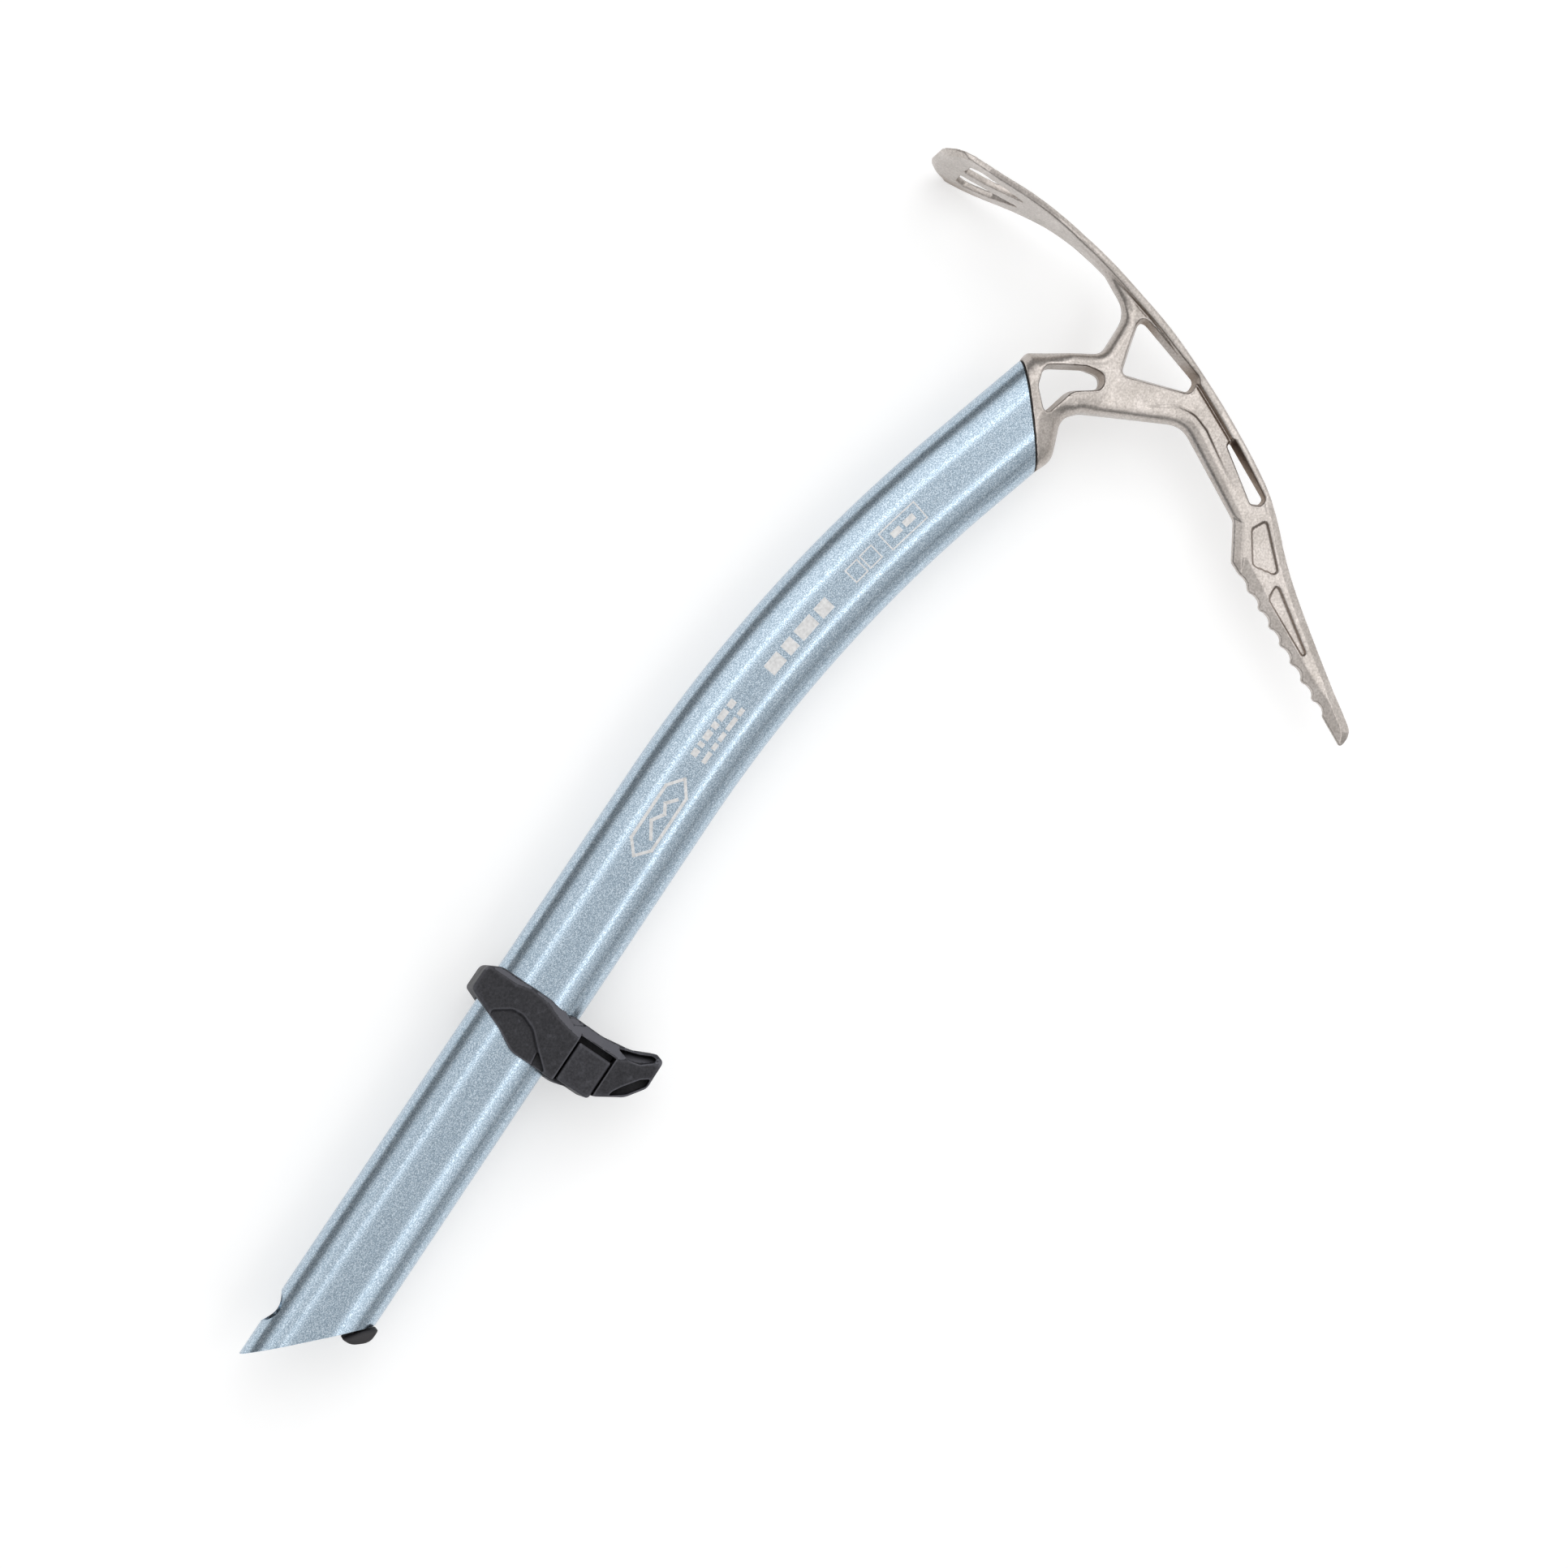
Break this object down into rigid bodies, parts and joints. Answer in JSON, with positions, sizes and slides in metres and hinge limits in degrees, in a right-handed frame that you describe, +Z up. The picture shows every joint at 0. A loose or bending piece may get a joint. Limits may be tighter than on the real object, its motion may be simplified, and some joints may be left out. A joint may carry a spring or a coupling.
{
  "type": "ice axe",
  "caption": "Light ski-touring ice axe: cast steel head with a toothed curved pick and flat adze, slim oval shaft cut to a slanted spike, and a sliding hand rest with a push-button lock.",
  "frame": {"origin": "bottom centre of the whole axe's box, lying on its side", "axes": "+X from the spike end of the shaft to the head, +Y towards the adze, +Z up, square to the plane of pick and adze"},
  "size_m": [0.45, 0.219, 0.045],
  "materials": {
    "shaft_metal": "blue-grey anodised with a fine bright grain",
    "cast_steel": "fine bead-blasted cast steel, warm grey",
    "black_sealant": "dark bond line",
    "plug_rubber": "matt black",
    "rest_nylon": "charcoal, fine grained",
    "button_nylon": "charcoal, fine grained, lightly worn edges",
    "shoe_nylon": "plain moulded",
    "pad_rubber": "matt",
    "pin_steel": "ground",
    "spring_steel": "bright wire",
    "liner_plastic": "low-friction plastic"
  },
  "bodies": {
    "axe": {"shaft_tube": "shaft_metal", "axe_head": "cast_steel", "head_seam": "black_sealant", "tail_plug": "plug_rubber"},
    "rest": {"hand_rest": "rest_nylon", "collar_liner_front": "liner_plastic", "collar_liner_rear": "liner_plastic", "button_spring": "spring_steel"},
    "button": {"lock_button": "button_nylon"},
    "shoe": {"brake_shoe": "shoe_nylon", "shoe_pad": "pad_rubber", "shoe_pin": "pin_steel"}
  },
  "joints": [
    {"name": "rest_slide", "type": "slide", "parent": "axe", "child": "rest", "axis": [1, 0, 0], "range_m": [-0.088, 0.07]},
    {"name": "button_press", "type": "slide", "parent": "rest", "child": "button", "axis": [1, 0, 0], "range_m": [0, 0.0016], "stiffness_N_per_m": 800, "springref_m": -0.002},
    {"name": "shoe_release", "type": "slide", "parent": "rest", "child": "shoe", "axis": [0, -1, 0], "range_m": [0, 0.0006]}
  ],
  "couplings": [
    {"joint": "shoe_release", "follows": "button_press", "ratio": 0.3}
  ]
}
